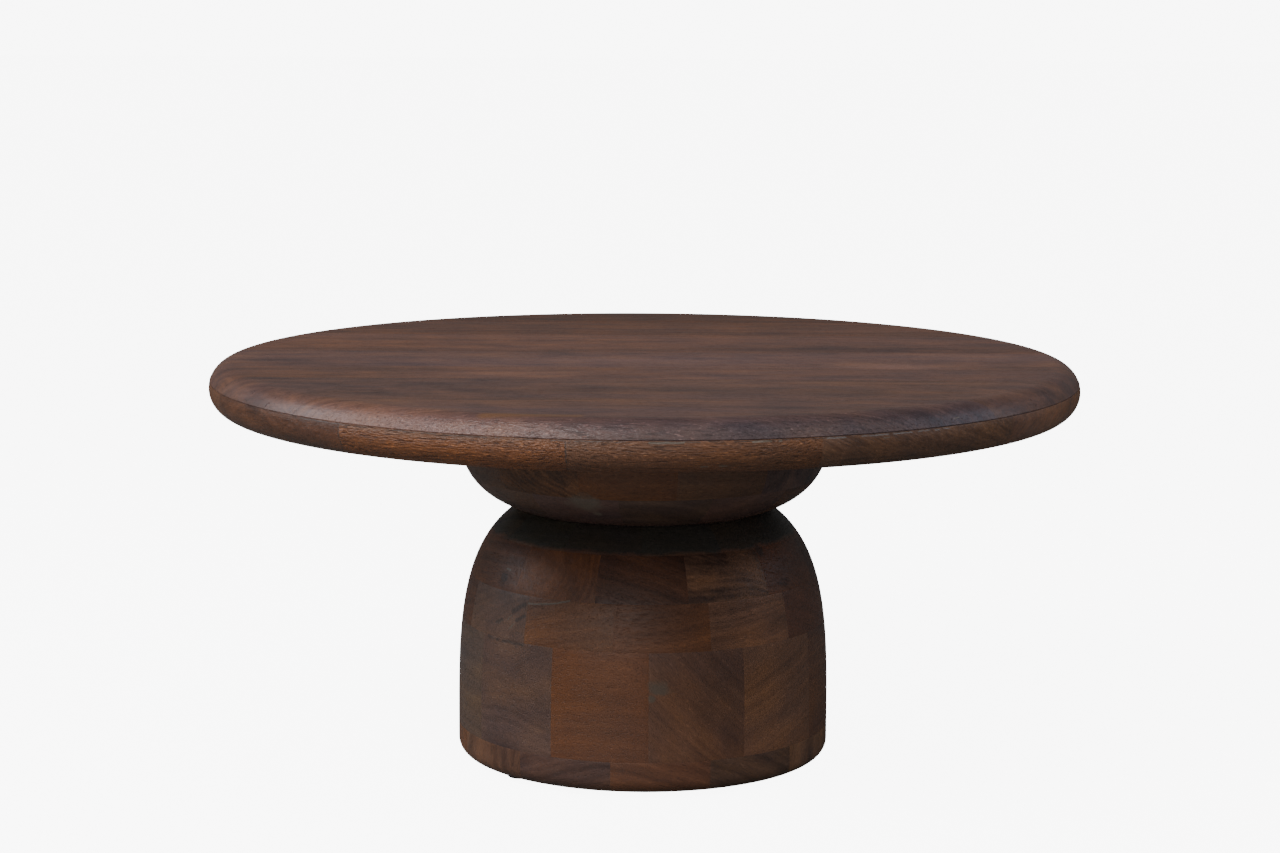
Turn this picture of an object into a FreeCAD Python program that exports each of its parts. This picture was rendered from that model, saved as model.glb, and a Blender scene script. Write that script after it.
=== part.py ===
import FreeCAD, Part
import math
import os

# Round pedestal coffee table in solid hardwood. The top is a disc of edge glued boards over a ring of
# glued segments. It stands on a hollow waisted pedestal, which is built up from courses of glued blocks
# like a brick wall and then turned to a drum shape, on three small glides.
# Millimetres, +Z up, origin on the floor under the table's centre, front towards -Y.
# A turn is an angle in degrees from the front, positive towards the right (+X).

# Overall sizes
top_diameter = 900.0
pedestal_diameter = 389.0
neck_diameter = 262.0
bowl_diameter = 390.0
dome_height = 261.0
bowl_height = 104.0
glide_height = 5.0

# Table top: boards along X, glued side to side, over a ring of segments and a centre panel of planks
board_thickness = 18.0
ring_thickness = 32.0
ring_width = 92.0
ring_turn = 21.0
centre_panel_diameter = 460.0
board_joint_shares = (0.164, 0.317, 0.418, 0.558, 0.728, 0.867)
plank_joint_shares = (0.33, 0.67)

# Pedestal outline: the lower dome swells from a straight skirt and draws in to the neck,
# and the upper bowl swells out again under the table top. Curved sides are turned as narrow
# tapered bands along a superellipse or an arc, as many as each piece needs.
dome_exponent = 3.55
dome_swell_start_height = 20.0
bowl_exponent = 3.2
foot_edge_radius = 14.0
top_edge_band_count = 4
rim_lower_edge_band_count = 4
rim_upper_edge_band_count = 1
foot_edge_band_count = 3
wall_band_count = 1
waist_band_count = 2
shoulder_band_count = 3
neck_band_count = 2
bowl_lower_band_count = 3
bowl_upper_band_count = 3

# Pedestal courses, from the floor up. The neck course and the upper bowl course take what is left.
blocks_per_course = 12
block_width = 48.0
skirt_course_height = 33.0
wall_course_height = 111.0
waist_course_height = 47.0
shoulder_course_height = 45.0
bowl_lower_course_height = 35.0
skirt_turn = 20.5
wall_turn = 1.7
waist_turn = 20.9
shoulder_turn = 14.5
neck_turn = 29.5
bowl_lower_turn = 22.0
bowl_upper_turn = 10.0

# Mounting disc inside the bowl, and the coach screws that hold the table top to it
mounting_disc_thickness = 22.0
coach_screw_count = 3
coach_screw_turn = 0.0
coach_screw_circle = 140.0
coach_screw_diameter = 8.0
coach_screw_length = 45.0
coach_screw_flats = 13.0
coach_screw_head_height = 5.5
coach_screw_side_count = 6
coach_screw_tip_clearance = 2.0

# Glides under the skirt course, each with a pin that is driven up into it
glide_count = 3
glide_turn = -50.0
glide_top_diameter = 31.0
glide_bottom_diameter = 26.0
glide_pin_diameter = 4.0
glide_pin_length = 18.0
glide_pin_tip_clearance = 1.0

# Clearance of a pin in its hole, and how far a cutting body runs past what it cuts
fit_clearance = 0.1
overrun = 5.0

# Heights of the main faces
base_z = glide_height
neck_z = base_z + dome_height
underside_z = neck_z + bowl_height
board_z = underside_z + ring_thickness
top_z = board_z + board_thickness

# Radii
top_radius = top_diameter / 2
edge_radius = (board_thickness + ring_thickness) / 2
edge_centre_z = underside_z + edge_radius
pedestal_radius = pedestal_diameter / 2
neck_radius = neck_diameter / 2
bowl_radius = bowl_diameter / 2
half_block_angle = math.pi / blocks_per_course

centre = FreeCAD.Vector(0, 0, 0)
up = FreeCAD.Vector(0, 0, 1)


def save(name, shape):
    shape.exportStep("parts/" + name + ".step")


def place(radius, turn, height):
    """Point at a radius from the table's axis, a turn from the front and a height."""
    angle = math.radians(turn)
    return FreeCAD.Vector(radius * math.sin(angle), -radius * math.cos(angle), height)


def swell_points(first, last, bands, widest, narrowest, full_distance, exponent):
    """Radius and distance along a superellipse that is widest at distance 0 and draws in to its
    narrowest at the full distance, from a first to a last distance."""
    drawn_in = (1 - (narrowest / widest) ** exponent) ** (1 / exponent)
    span = full_distance / drawn_in
    first_angle, last_angle = (math.asin((max(d, 0) / span) ** (exponent / 2)) for d in (first, last))
    points = []
    for index in range(bands + 1):
        angle = first_angle + (last_angle - first_angle) * index / bands
        radius = widest * math.cos(angle) ** (2 / exponent)
        distance = span * math.sin(angle) ** (2 / exponent)
        points.append((radius, distance))
    return points


def dome_outline(low, high, bands):
    """Radius and height along the dome between two heights."""
    start_z = base_z + dome_swell_start_height
    swell_height = neck_z - start_z
    points = swell_points(low - start_z, high - start_z, bands,
                          pedestal_radius, neck_radius, swell_height, dome_exponent)
    return [(radius, start_z + distance) for radius, distance in points]


def bowl_outline(low, high, bands):
    """Radius and height along the bowl between two heights."""
    points = swell_points(underside_z - low, underside_z - high, bands,
                          bowl_radius, neck_radius, bowl_height, bowl_exponent)
    return [(radius, underside_z - distance) for radius, distance in points]


def arc_outline(centre_radius, centre_z, radius, low, high, bands):
    """Radius and height along a rounded edge between two heights."""
    first_angle, last_angle = (math.asin((height - centre_z) / radius) for height in (low, high))
    points = []
    for index in range(bands + 1):
        angle = first_angle + (last_angle - first_angle) * index / bands
        points.append((centre_radius + radius * math.cos(angle), centre_z + radius * math.sin(angle)))
    return points


def edge_outline(low, high, bands):
    """Radius and height along the table top's half round edge between two heights."""
    return arc_outline(top_radius - edge_radius, edge_centre_z, edge_radius, low, high, bands)


def skirt_outline(low, high):
    """Straight side with a rounded lower edge."""
    radius = dome_outline(high, high, 1)[0][0]
    edge_z = low + foot_edge_radius
    arc_radius = radius - foot_edge_radius
    rounding = arc_outline(arc_radius, edge_z, foot_edge_radius, low, edge_z, foot_edge_band_count)
    return rounding + [(radius, high)]


def turned_disc(points):
    """Solid of revolution inside an outline that runs upwards."""
    side = [FreeCAD.Vector(radius, 0, height) for radius, height in points]
    low = FreeCAD.Vector(0, 0, side[0].z)
    high = FreeCAD.Vector(0, 0, side[-1].z)
    return Part.Face(Part.makePolygon([low] + side + [high, low])).revolve(centre, up, 360)


def wedge(inner_flat, reach, low, high, turn):
    """Pie shaped prism of one block, centred on a turn, with a flat sawn inner face."""
    side = math.tan(half_block_angle)
    corners = [
        FreeCAD.Vector(inner_flat, -inner_flat * side, low),
        FreeCAD.Vector(reach, -reach * side, low),
        FreeCAD.Vector(reach, reach * side, low),
        FreeCAD.Vector(inner_flat, inner_flat * side, low),
    ]
    prism = Part.Face(Part.makePolygon(corners + corners[:1])).extrude(up * (high - low))
    prism.rotate(centre, up, turn - 90)
    return prism


def ring_of_blocks(disc, inner_flat, joint_turn):
    """Cuts a turned disc into a ring of blocks that meet at the joint turn and its repeats."""
    box = disc.BoundBox
    reach = box.XMax + overrun
    step = 360 / blocks_per_course
    turns = [joint_turn + (index + 0.5) * step for index in range(blocks_per_course)]
    wedges = [wedge(inner_flat, reach, box.ZMin - overrun, box.ZMax + overrun, turn) for turn in turns]
    return [disc.common(block).Solids[0] for block in wedges]


def planks(disc, joint_shares, along_x):
    """Cuts a disc into boards side by side, at shares of its diameter from the front or the left."""
    box = disc.BoundBox
    reach = box.XMax + overrun
    edges = [-reach] + [box.XMin + share * box.XLength for share in joint_shares] + [reach]
    pieces = []
    for low, high in zip(edges, edges[1:]):
        corner = FreeCAD.Vector(-reach, low, box.ZMin - overrun)
        slab = Part.makeBox(2 * reach, high - low, box.ZLength + 2 * overrun, corner)
        if not along_x:
            slab.rotate(centre, up, -90)
        pieces.append(disc.common(slab).Solids[0])
    return pieces


def pins(count, circle_radius, first_turn, low, height, radius):
    """Upright cylinders evenly spaced on a circle."""
    step = 360 / count
    spots = [place(circle_radius, first_turn + index * step, low) for index in range(count)]
    return [Part.makeCylinder(radius, height, spot, up) for spot in spots]


def drilled(solids, cutters):
    return [solid.cut(Part.makeCompound(cutters)).Solids[0] for solid in solids]


def save_all(name, solids):
    for index, solid in enumerate(solids, start=1):
        save(name + "_" + str(index), solid)


def make_top_boards():
    disc = turned_disc(edge_outline(board_z, top_z, top_edge_band_count))
    save_all("top_board", planks(disc, board_joint_shares, True))


def make_rim_segments():
    lower = edge_outline(underside_z, edge_centre_z, rim_lower_edge_band_count)
    upper = edge_outline(edge_centre_z, board_z, rim_upper_edge_band_count)
    disc = turned_disc(lower + upper[1:])
    save_all("rim_segment", ring_of_blocks(disc, top_radius - ring_width, ring_turn))


def coach_screw_pins(low, height, radius):
    return pins(coach_screw_count, coach_screw_circle / 2, coach_screw_turn, low, height, radius)


def make_centre_planks():
    radius = centre_panel_diameter / 2
    disc = Part.makeCylinder(radius, ring_thickness, FreeCAD.Vector(0, 0, underside_z), up)
    grip = coach_screw_length - mounting_disc_thickness + coach_screw_tip_clearance
    holes = coach_screw_pins(underside_z, grip, coach_screw_diameter / 2 + fit_clearance)
    save_all("centre_plank", drilled(planks(disc, plank_joint_shares, False), holes))


def sawn_flat(points):
    """Distance of a course's sawn inner faces from the axis, a block's width inside its narrowest end."""
    return min(points[0][0], points[-1][0]) - block_width


def skirt_flat():
    return skirt_outline(base_z, base_z + skirt_course_height)[-1][0] - block_width


def make_skirt():
    disc = turned_disc(skirt_outline(base_z, base_z + skirt_course_height))
    blocks = ring_of_blocks(disc, skirt_flat(), skirt_turn)
    holes = glide_pins(glide_pin_length + glide_pin_tip_clearance, glide_pin_diameter / 2 + fit_clearance)
    save("skirt_course", Part.makeCompound(drilled(blocks, holes)))


def make_course(name, points, joint_turn):
    blocks = ring_of_blocks(turned_disc(points), sawn_flat(points), joint_turn)
    save(name, Part.makeCompound(blocks))


def make_dome():
    wall_z = base_z + skirt_course_height
    waist_z = wall_z + wall_course_height
    shoulder_z = waist_z + waist_course_height
    collar_z = shoulder_z + shoulder_course_height
    make_course("wall_course", dome_outline(wall_z, waist_z, wall_band_count), wall_turn)
    make_course("waist_course", dome_outline(waist_z, shoulder_z, waist_band_count), waist_turn)
    make_course("shoulder_course", dome_outline(shoulder_z, collar_z, shoulder_band_count), shoulder_turn)
    make_course("neck_course", dome_outline(collar_z, neck_z, neck_band_count), neck_turn)


def bowl_upper_outline():
    return bowl_outline(neck_z + bowl_lower_course_height, underside_z, bowl_upper_band_count)


def make_bowl():
    lower = bowl_outline(neck_z, neck_z + bowl_lower_course_height, bowl_lower_band_count)
    make_course("bowl_lower_course", lower, bowl_lower_turn)
    make_course("bowl_upper_course", bowl_upper_outline(), bowl_upper_turn)


def make_mounting_disc():
    """Board glued inside the upper bowl course, with as many sides as the course has blocks."""
    low = underside_z - mounting_disc_thickness
    corner_radius = sawn_flat(bowl_upper_outline()) / math.cos(half_block_angle)
    step = 360 / blocks_per_course
    turns = [bowl_upper_turn + index * step for index in range(blocks_per_course)]
    corners = [place(corner_radius, turn, low) for turn in turns]
    board = Part.Face(Part.makePolygon(corners + corners[:1])).extrude(up * mounting_disc_thickness)
    hole_height = mounting_disc_thickness + 2 * overrun
    holes = coach_screw_pins(low - overrun, hole_height, coach_screw_diameter / 2 + fit_clearance)
    save("mounting_disc", drilled([board], holes)[0])


def hexagonal_prism(spot, flats, height):
    step = 360 / coach_screw_side_count
    corner_radius = flats / 2 / math.cos(math.radians(step / 2))
    offsets = [place(corner_radius, index * step, 0) for index in range(coach_screw_side_count)]
    corners = [spot + offset for offset in offsets]
    return Part.Face(Part.makePolygon(corners + corners[:1])).extrude(up * height)


def make_coach_screws():
    """Hexagon head screws, driven up through the mounting disc into the centre planks."""
    seat_z = underside_z - mounting_disc_thickness
    shanks = coach_screw_pins(seat_z, coach_screw_length, coach_screw_diameter / 2)
    step = 360 / coach_screw_count
    screws = []
    for index, shank in enumerate(shanks):
        turn = coach_screw_turn + index * step
        spot = place(coach_screw_circle / 2, turn, seat_z - coach_screw_head_height)
        head = hexagonal_prism(spot, coach_screw_flats, coach_screw_head_height)
        screws.append(head.fuse(shank).Solids[0])
    save("coach_screws", Part.makeCompound(screws))


def glide_circle():
    """Radius of the circle of glides, midway across the skirt's flat underside."""
    return (skirt_flat() + skirt_outline(base_z, base_z + skirt_course_height)[0][0]) / 2


def glide_pins(height, radius):
    return pins(glide_count, glide_circle(), glide_turn, base_z, height, radius)


def make_glides():
    """Tapered glides, wider at the skirt, each with its pin."""
    step = 360 / glide_count
    glides = []
    for index, pin in enumerate(glide_pins(glide_pin_length, glide_pin_diameter / 2)):
        spot = place(glide_circle(), glide_turn + index * step, 0)
        pad = Part.makeCone(glide_bottom_diameter / 2, glide_top_diameter / 2, glide_height, spot, up)
        glides.append(pad.fuse(pin).Solids[0])
    save("glides", Part.makeCompound(glides))


os.makedirs("parts", exist_ok=True)
make_top_boards()
make_rim_segments()
make_centre_planks()
make_skirt()
make_dome()
make_bowl()
make_mounting_disc()
make_coach_screws()
make_glides()
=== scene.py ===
import math
import random
import bmesh
import bpy
from mathutils import Matrix, Vector, noise


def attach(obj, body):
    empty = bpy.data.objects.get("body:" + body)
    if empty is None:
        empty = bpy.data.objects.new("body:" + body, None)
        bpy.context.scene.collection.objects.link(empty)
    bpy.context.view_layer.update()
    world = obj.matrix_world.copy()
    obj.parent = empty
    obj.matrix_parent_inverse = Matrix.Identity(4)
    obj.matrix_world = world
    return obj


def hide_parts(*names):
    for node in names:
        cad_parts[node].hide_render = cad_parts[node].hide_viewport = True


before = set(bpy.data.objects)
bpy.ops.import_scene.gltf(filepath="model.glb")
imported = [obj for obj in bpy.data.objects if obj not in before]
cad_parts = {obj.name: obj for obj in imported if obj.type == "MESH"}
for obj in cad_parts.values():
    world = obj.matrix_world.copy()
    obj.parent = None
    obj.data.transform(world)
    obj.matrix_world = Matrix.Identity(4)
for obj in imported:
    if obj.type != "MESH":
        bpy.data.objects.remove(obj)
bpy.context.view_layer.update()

# Glides
# Three small pads of dark moulded plastic under the pedestal's foot, tapered towards the floor. Each has a
# pin that is driven up into a block of the skirt.

GLIDE_COUNT = 3
GLIDE_TURN = -50.0
GLIDE_TOP_RADIUS = 0.0155
GLIDE_FOOT_RADIUS = 0.0130
GLIDE_HEIGHT = 0.0050
GLIDE_EDGE = 0.0008
GLIDE_PIN_RADIUS = 0.0020
GLIDE_PIN_TOP = 0.0230
GLIDE_CIRCLE = 0.1635
STEPS_ROUND_GLIDE = 48
STEPS_UP_GLIDE = 120
WELD = 0.00001
GLIDE_DARK = (0.020, 0.008, 0.007)
GLIDE_LIGHT = (0.045, 0.017, 0.013)
FULL_TURN = 2 * math.pi


class Reading:
    """A number, vector, colour or shape in a node tree. Sums are written with it as on paper."""

    def __init__(self, socket):
        self.socket = socket
        self.tree = socket.id_data

    def work(self, operation, *values):
        kind = "ShaderNodeVectorMath" if self.socket.type in ("VECTOR", "RGBA") else "ShaderNodeMath"
        return place(self.tree, kind, dict(enumerate(values)), operation=operation)[0]

    def __add__(self, other):
        return self.work("ADD", self, other)

    def __radd__(self, other):
        return self.work("ADD", other, self)

    def __sub__(self, other):
        return self.work("SUBTRACT", self, other)

    def __rsub__(self, other):
        return self.work("SUBTRACT", other, self)

    def __mul__(self, other):
        return self.work("MULTIPLY", self, other)

    def __truediv__(self, other):
        return self.work("DIVIDE", self, other)

    def __neg__(self):
        return self * -1.0


class Made:
    """A new node. Its outputs are read by their names or numbers."""

    def __init__(self, node):
        self.node = node

    def __getitem__(self, key):
        return Reading(self.node.outputs[key])


def set_inputs(node, values):
    """Links readings to a node's inputs and sets the other values on them."""
    for name, value in values.items():
        if isinstance(value, Reading):
            value.tree.links.new(value.socket, node.inputs[name])
        else:
            node.inputs[name].default_value = value


def place(tree, kind, values, **settings):
    """New node with its settings, and with numbers or readings for its inputs."""
    node = tree.nodes.new(kind)
    for name, value in settings.items():
        setattr(node, name, value)
    set_inputs(node, values)
    return Made(node)


def tree_of(values):
    return next(value.tree for value in values if isinstance(value, Reading))


def calc(operation, *values):
    """Math node on numbers and readings."""
    return place(tree_of(values), "ShaderNodeMath", dict(enumerate(values)), operation=operation)[0]


def held(value):
    """Keeps the result of a sum between 0 and 1."""
    value.socket.node.use_clamp = True
    return value


def scaled(vector, factor):
    return place(vector.tree, "ShaderNodeVectorMath", {0: vector, "Scale": factor}, operation="SCALE")[0]


def measured(operation, *vectors):
    """A length, distance or dot product of vectors."""
    values = dict(enumerate(vectors))
    return place(vectors[0].tree, "ShaderNodeVectorMath", values, operation=operation)["Value"]


def parts(vector):
    return place(vector.tree, "ShaderNodeSeparateXYZ", {"Vector": vector})


def joined(**values):
    return place(tree_of(values.values()), "ShaderNodeCombineXYZ", values)[0]


def position(tree):
    return place(tree, "GeometryNodeInputPosition", {})[0]


def add_sockets(tree, in_out, **kinds):
    """Named inputs or outputs of a tree, grouped by their kinds."""
    for kind, names in kinds.items():
        for name in names:
            tree.interface.new_socket(name, in_out=in_out, socket_type="NodeSocket" + kind)


def shape_tree(name, **inputs):
    """Empty geometry tree with named inputs and one geometry output."""
    tree = bpy.data.node_groups.new(name, "GeometryNodeTree")
    add_sockets(tree, "INPUT", **inputs)
    add_sockets(tree, "OUTPUT", Geometry=["Shape"])
    return tree, Made(tree.nodes.new("NodeGroupInput"))


def finish_tree(tree, geometry, material):
    """Ends a tree: no instances, one material."""
    whole = place(tree, "GeometryNodeRealizeInstances", {"Geometry": geometry})[0]
    painted = place(tree, "GeometryNodeSetMaterial", {"Geometry": whole, "Material": material})[0]
    set_inputs(tree.nodes.new("NodeGroupOutput"), {"Shape": painted})


def outline_point(outline, share):
    """Radius and height at a share of an outline curve's length."""
    curve = place(outline.tree, "GeometryNodeObjectInfo", {"Object": outline})["Geometry"]
    found = place(outline.tree, "GeometryNodeSampleCurve", {"Curves": curve, "Factor": share},
                  mode="FACTOR", use_all_curves=True)
    found = parts(found["Position"])
    return found["X"], found["Z"]


def turned_pieces_tree():
    """A turned shape from an outline that starts and ends on its axis, at each of the input points."""
    tree, given = shape_tree(
        "Turned pieces", Geometry=["Places"], Object=["Outline"], Int=["Steps round", "Steps up"],
        Material=["Finish"])
    grid = place(tree, "GeometryNodeMeshGrid", {
        "Size X": 1.0, "Size Y": 1.0, "Vertices X": given["Steps round"], "Vertices Y": given["Steps up"]})
    corner = parts(position(tree))
    angle = corner["X"] * FULL_TURN
    radius, height = outline_point(given["Outline"], corner["Y"] + 0.5)
    spot = joined(X=radius * calc("SINE", angle), Y=-(radius * calc("COSINE", angle)), Z=height)
    turned = place(tree, "GeometryNodeSetPosition", {"Geometry": grid["Mesh"], "Position": spot})[0]
    closed = place(tree, "GeometryNodeMergeByDistance", {"Geometry": turned, "Distance": WELD})[0]
    pieces = place(tree, "GeometryNodeInstanceOnPoints", {"Points": given["Places"], "Instance": closed})[0]
    finish_tree(tree, pieces, given["Finish"])
    return tree


def at_turn(radius, turn, height):
    """Point at a radius and a height, at a turn in degrees from the front to the right."""
    return radius * math.sin(math.radians(turn)), -radius * math.cos(math.radians(turn)), height


def show(name, data):
    """Object in the scene for a mesh, curve, light or camera."""
    piece = bpy.data.objects.new(name, data)
    bpy.context.scene.collection.objects.link(piece)
    return piece


def outline_curve(points):
    """Curve through an outline's radii and heights, in the XZ plane."""
    data = bpy.data.curves.new("outline", "CURVE")
    data.dimensions = "3D"
    line = data.splines.new("POLY")
    line.points.add(len(points) - 1)
    for spot, (radius, height) in zip(line.points, points):
        spot.co = (radius, 0.0, height, 1.0)
    return show("outline", data)


def point_piece(name, places):
    """Object with a loose vertex at each place."""
    mesh = bpy.data.meshes.new(name)
    mesh.from_pydata(places, [], [])
    return show(name, mesh)


def shape(piece, tree, outline, sharp_angle, **values):
    """Runs a geometry tree on a piece and its outline, and keeps the result as the piece's plain mesh."""
    curve = outline_curve(outline)
    modifier = piece.modifiers.new(tree.name, "NODES")
    modifier.node_group = tree
    for key, value in (("Outline", curve), *values.items()):
        socket = tree.interface.items_tree[key.replace("_", " ")]
        modifier[socket.identifier] = value
    bpy.context.view_layer.update()
    seen = bpy.context.evaluated_depsgraph_get()
    mesh = bpy.data.meshes.new_from_object(
        piece.evaluated_get(seen), preserve_all_data_layers=True, depsgraph=seen)
    piece.modifiers.clear()
    piece.data = mesh
    mesh.name = piece.name
    work = bmesh.new()
    work.from_mesh(mesh)
    bmesh.ops.recalc_face_normals(work, faces=work.faces)
    work.to_mesh(mesh)
    work.free()
    smooth(mesh, sharp_angle)
    bpy.data.objects.remove(curve)
    return piece


def smooth(mesh, sharp_angle):
    mesh.shade_smooth()
    mesh.set_sharp_from_angle(angle=math.radians(sharp_angle))


def belongs(piece, slot, *nodes):
    """The piece is part of the table's one body and stands for CAD nodes, which are hidden. The slot is not
    used.
    """
    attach(piece, "root")
    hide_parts(*nodes)


def shader_group(name, given, made):
    """Empty shader node group with its named inputs and outputs."""
    tree = bpy.data.node_groups.new(name, "ShaderNodeTree")
    add_sockets(tree, "INPUT", **given)
    add_sockets(tree, "OUTPUT", **made)
    return tree, Made(tree.nodes.new("NodeGroupInput")), tree.nodes.new("NodeGroupOutput")


def use(tree, group, values):
    return place(tree, "ShaderNodeGroup", values, node_tree=group)


def new_material(name):
    """Material with its node tree, its Principled BSDF and the object's own coordinates."""
    material = bpy.data.materials.new(name)
    material.use_nodes = True
    tree = material.node_tree
    return material, tree, tree.nodes["Principled BSDF"], place(tree, "ShaderNodeTexCoord", {})["Object"]


def noise_at(spot, scale, detail, roughness=0.5):
    """Noise with so many features per metre."""
    return place(spot.tree, "ShaderNodeTexNoise", {
        "Vector": spot, "Scale": scale, "Detail": detail, "Roughness": roughness})


def mixed(factor, low, high, blend):
    low, high = ((*colour, 1.0) if isinstance(colour, tuple) else colour for colour in (low, high))
    return place(tree_of((factor, low, high)), "ShaderNodeMix", {0: factor, 6: low, 7: high},
                 data_type="RGBA", blend_type=blend)[2]


def blended(factor, low, high):
    return mixed(factor, low, high, "MIX")


def tinted(colour, factor, tint):
    """A colour multiplied by a tint, as far as the factor says."""
    return mixed(factor, colour, tint, "MULTIPLY")


def raised(shader, height, strength, distance):
    """Fine relief of a surface, with its distance in metres."""
    bump = place(height.tree, "ShaderNodeBump", {
        "Height": height, "Strength": strength, "Distance": distance})
    set_inputs(shader, {"Normal": bump[0]})


def fine_grit_group():
    """Small unevenness of a moulded, cast or plated surface: a value from 0 to 1 about a half."""
    tree, given, made = shader_group(
        "Fine grit", {"Vector": ["Position"], "Float": ["Grains per metre"]}, {"Float": ["Grit"]})
    set_inputs(made, {"Grit": noise_at(given["Position"], given["Grains per metre"], 3.0)[0]})
    return tree


def gritty(shader, spot, grains, dark, light, roughness, height):
    """Colour, roughness and relief of a plain surface from the fine grit group."""
    grit = use(spot.tree, fine_grit, {"Position": spot, "Grains per metre": grains})[0]
    set_inputs(shader, {"Base Color": blended(grit, dark, light), "Roughness": grit * 0.2 + roughness})
    raised(shader, grit, 0.4, height)


fine_grit = fine_grit_group()
turned_pieces = turned_pieces_tree()

glide_plastic, tree, shader, spot = new_material("Glide plastic")
gritty(shader, spot, 900.0, GLIDE_DARK, GLIDE_LIGHT, 0.38, 0.0001)

glide_outline = [
    (0.0, 0.0), (GLIDE_FOOT_RADIUS - GLIDE_EDGE, 0.0), (GLIDE_FOOT_RADIUS, GLIDE_EDGE),
    (GLIDE_TOP_RADIUS - GLIDE_EDGE / 4, GLIDE_HEIGHT - GLIDE_EDGE),
    (GLIDE_TOP_RADIUS - GLIDE_EDGE / 2, GLIDE_HEIGHT),
    (GLIDE_PIN_RADIUS, GLIDE_HEIGHT), (GLIDE_PIN_RADIUS, GLIDE_PIN_TOP), (0.0, GLIDE_PIN_TOP)]
glide_turns = [GLIDE_TURN + index * 360 / GLIDE_COUNT for index in range(GLIDE_COUNT)]
glide_places = [at_turn(GLIDE_CIRCLE, turn, 0.0) for turn in glide_turns]
glides = shape(point_piece("glide_pads", glide_places), turned_pieces, glide_outline, 30,
               Steps_round=STEPS_ROUND_GLIDE, Steps_up=STEPS_UP_GLIDE, Finish=glide_plastic)
belongs(glides, "glides", "glides")

# Pedestal courses
# The pedestal is laid like a round brick wall: seven courses of twelve glued hardwood blocks, with twelve
# sawn flats inside. The stack is turned to a dome and a bowl, sanded and stained, and its joints show as
# fine lines.

BASE_Z = GLIDE_HEIGHT
NECK_Z = 0.266
UNDERSIDE_Z = 0.370
COURSE_Z = {
    "skirt": (0.005, 0.038), "wall": (0.038, 0.149), "waist": (0.149, 0.196), "shoulder": (0.196, 0.241),
    "neck": (0.241, 0.266), "bowl_lower": (0.266, 0.301), "bowl_upper": (0.301, 0.370)}
PEDESTAL_RADIUS = 0.1945
NECK_RADIUS = 0.131
BOWL_RADIUS = 0.195
DOME_EXPONENT = 3.55
DOME_SWELL_START = 0.020
BOWL_EXPONENT = 3.2
FOOT_EDGE_RADIUS = 0.014
BLOCK_WIDTH = 0.048
BLOCKS = 12
BLOCK_DEGREES = 360 / BLOCKS
BLOCK_ANGLE = math.radians(BLOCK_DEGREES)
JOINT_WIDTH = 0.0005
JOINT_DEPTH = 0.00007
SHARP_ANGLE = 38

# One stain comes out in these colours, because the timber of the blocks differs.
STAINS = {
    "amber": (0.150, 0.060, 0.026),
    "rust": (0.160, 0.062, 0.023),
    "honey": (0.176, 0.082, 0.045),
    "russet": (0.130, 0.053, 0.028),
    "bronze": (0.114, 0.047, 0.023),
    "mocha": (0.132, 0.064, 0.039),
    "plum": (0.118, 0.066, 0.048),
    "umber": (0.098, 0.041, 0.024),
    "sable": (0.094, 0.050, 0.036),
    "slate": (0.092, 0.055, 0.044),
    "smoke": (0.120, 0.073, 0.058),
}
PUTTY = (0.150, 0.122, 0.096)
GREEN_PUTTY = (0.100, 0.078, 0.056)
DARK_MARK = (0.060, 0.040, 0.032)


def from_joint(share, cells, length):
    """Moves the first and the last cell of a row to the chamfers at its two joints. Returns the new share of
    the row, and how far in from a joint the point is, from 0 to 1."""
    step = share * cells
    first = held(step * 1.0)
    last = held(cells - step)
    middle = held((step - 1.0) / (cells - 2.0))
    chamfer = calc("DIVIDE", JOINT_WIDTH, length)
    plain = middle * (chamfer * -2.0 + 1.0)
    ends = chamfer * (first + (1.0 - last))
    return plain + ends, calc("MINIMUM", first, last)


def read_attribute(tree, name, kind="FLOAT"):
    return place(tree, "GeometryNodeInputNamedAttribute", {"Name": name}, data_type=kind)["Attribute"]


def keep_attribute(geometry, name, kind, value):
    return place(geometry.tree, "GeometryNodeStoreNamedAttribute", {
        "Geometry": geometry, "Name": name, "Value": value}, data_type=kind, domain="POINT")[0]


def stretched_noise(vector, along, across, detail, roughness=0.5):
    """Noise drawn out along the grain, with features per metre along it and across it."""
    return noise_at(vector * (along, across, across), 1.0, detail, roughness)


def above(value, threshold, steepness):
    """0 below a threshold, rising to 1."""
    return held((value - threshold) * steepness)


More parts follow.
